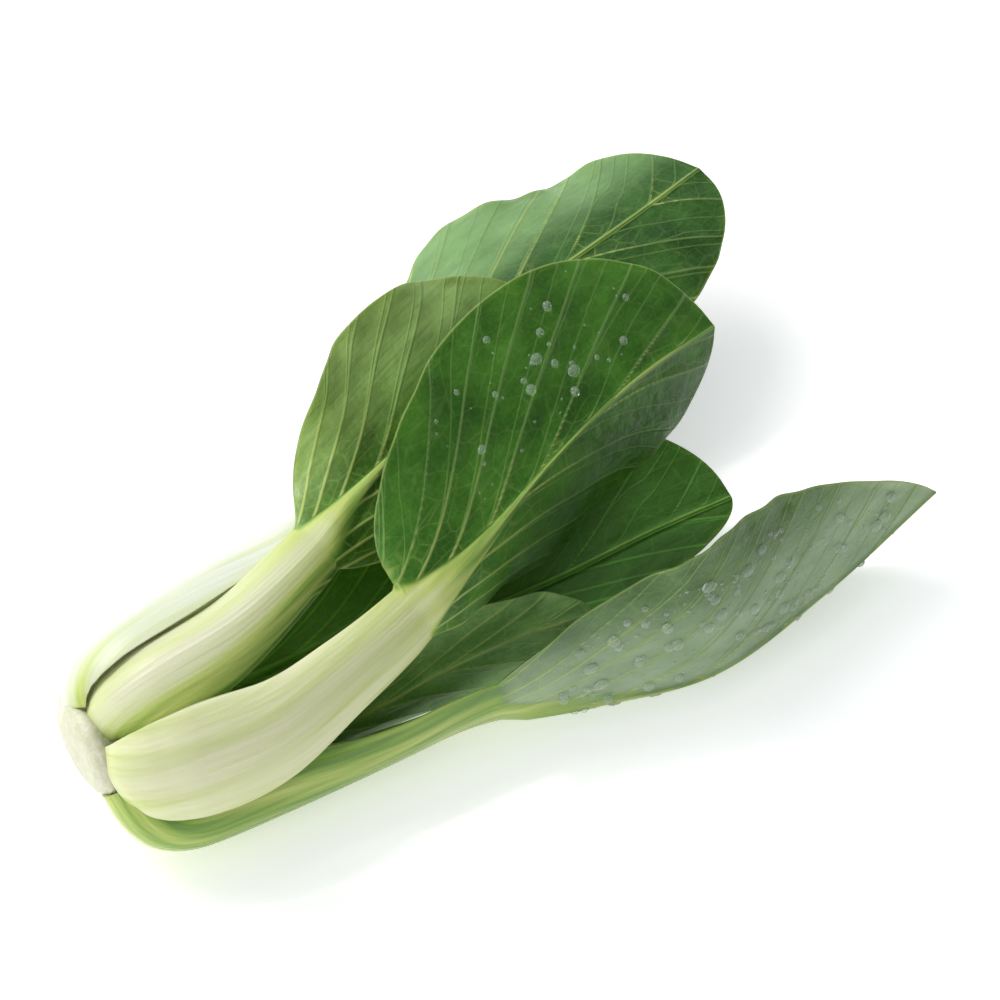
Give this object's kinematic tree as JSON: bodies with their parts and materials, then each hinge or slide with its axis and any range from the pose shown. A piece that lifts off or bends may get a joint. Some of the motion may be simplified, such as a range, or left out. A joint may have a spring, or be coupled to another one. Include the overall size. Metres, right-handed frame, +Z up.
{
  "type": "bok choy",
  "caption": "Baby bok choy lying on its side: fleshy pale stalks round a short cut stem, opening into ribbed dark green oval leaves.",
  "frame": {"origin": "on the surface the head lies on, under the middle of the head's overall box", "axes": "+X along the head from the cut stem to the leaf tips, +Z up, -Y toward the near side of the picture"},
  "size_m": [0.2386, 0.1452, 0.0897],
  "materials": {
    "stem_base": "moist cut plant stem, pale cream",
    "leaf_front": "waxy leaf, cream stalk and mid green blade",
    "leaf_middle": "waxy leaf, pale green stalk and lit green blade",
    "leaf_top": "waxy leaf, white stalk and green blade with a pale sheen",
    "leaf_floor": "wet grey-green leaf underside with water drops",
    "leaf_under": "dark green leaf, upper face",
    "leaf_back": "waxy leaf, pale stalk and green blade",
    "leaf_inner": "dark green inner leaf",
    "leaf_heart": "deep green young leaf",
    "leaf_bud": "pale yellow-green leaf bud"
  },
  "bodies": {
    "root": {"stem_base": "stem_base", "leaf_front": "leaf_front", "leaf_middle": "leaf_middle", "leaf_top": "leaf_top", "leaf_floor": "leaf_floor", "leaf_under": "leaf_under", "leaf_back": "leaf_back", "leaf_inner": "leaf_inner", "leaf_heart": "leaf_heart", "leaf_bud": "leaf_bud"}
  },
  "joints": []
}
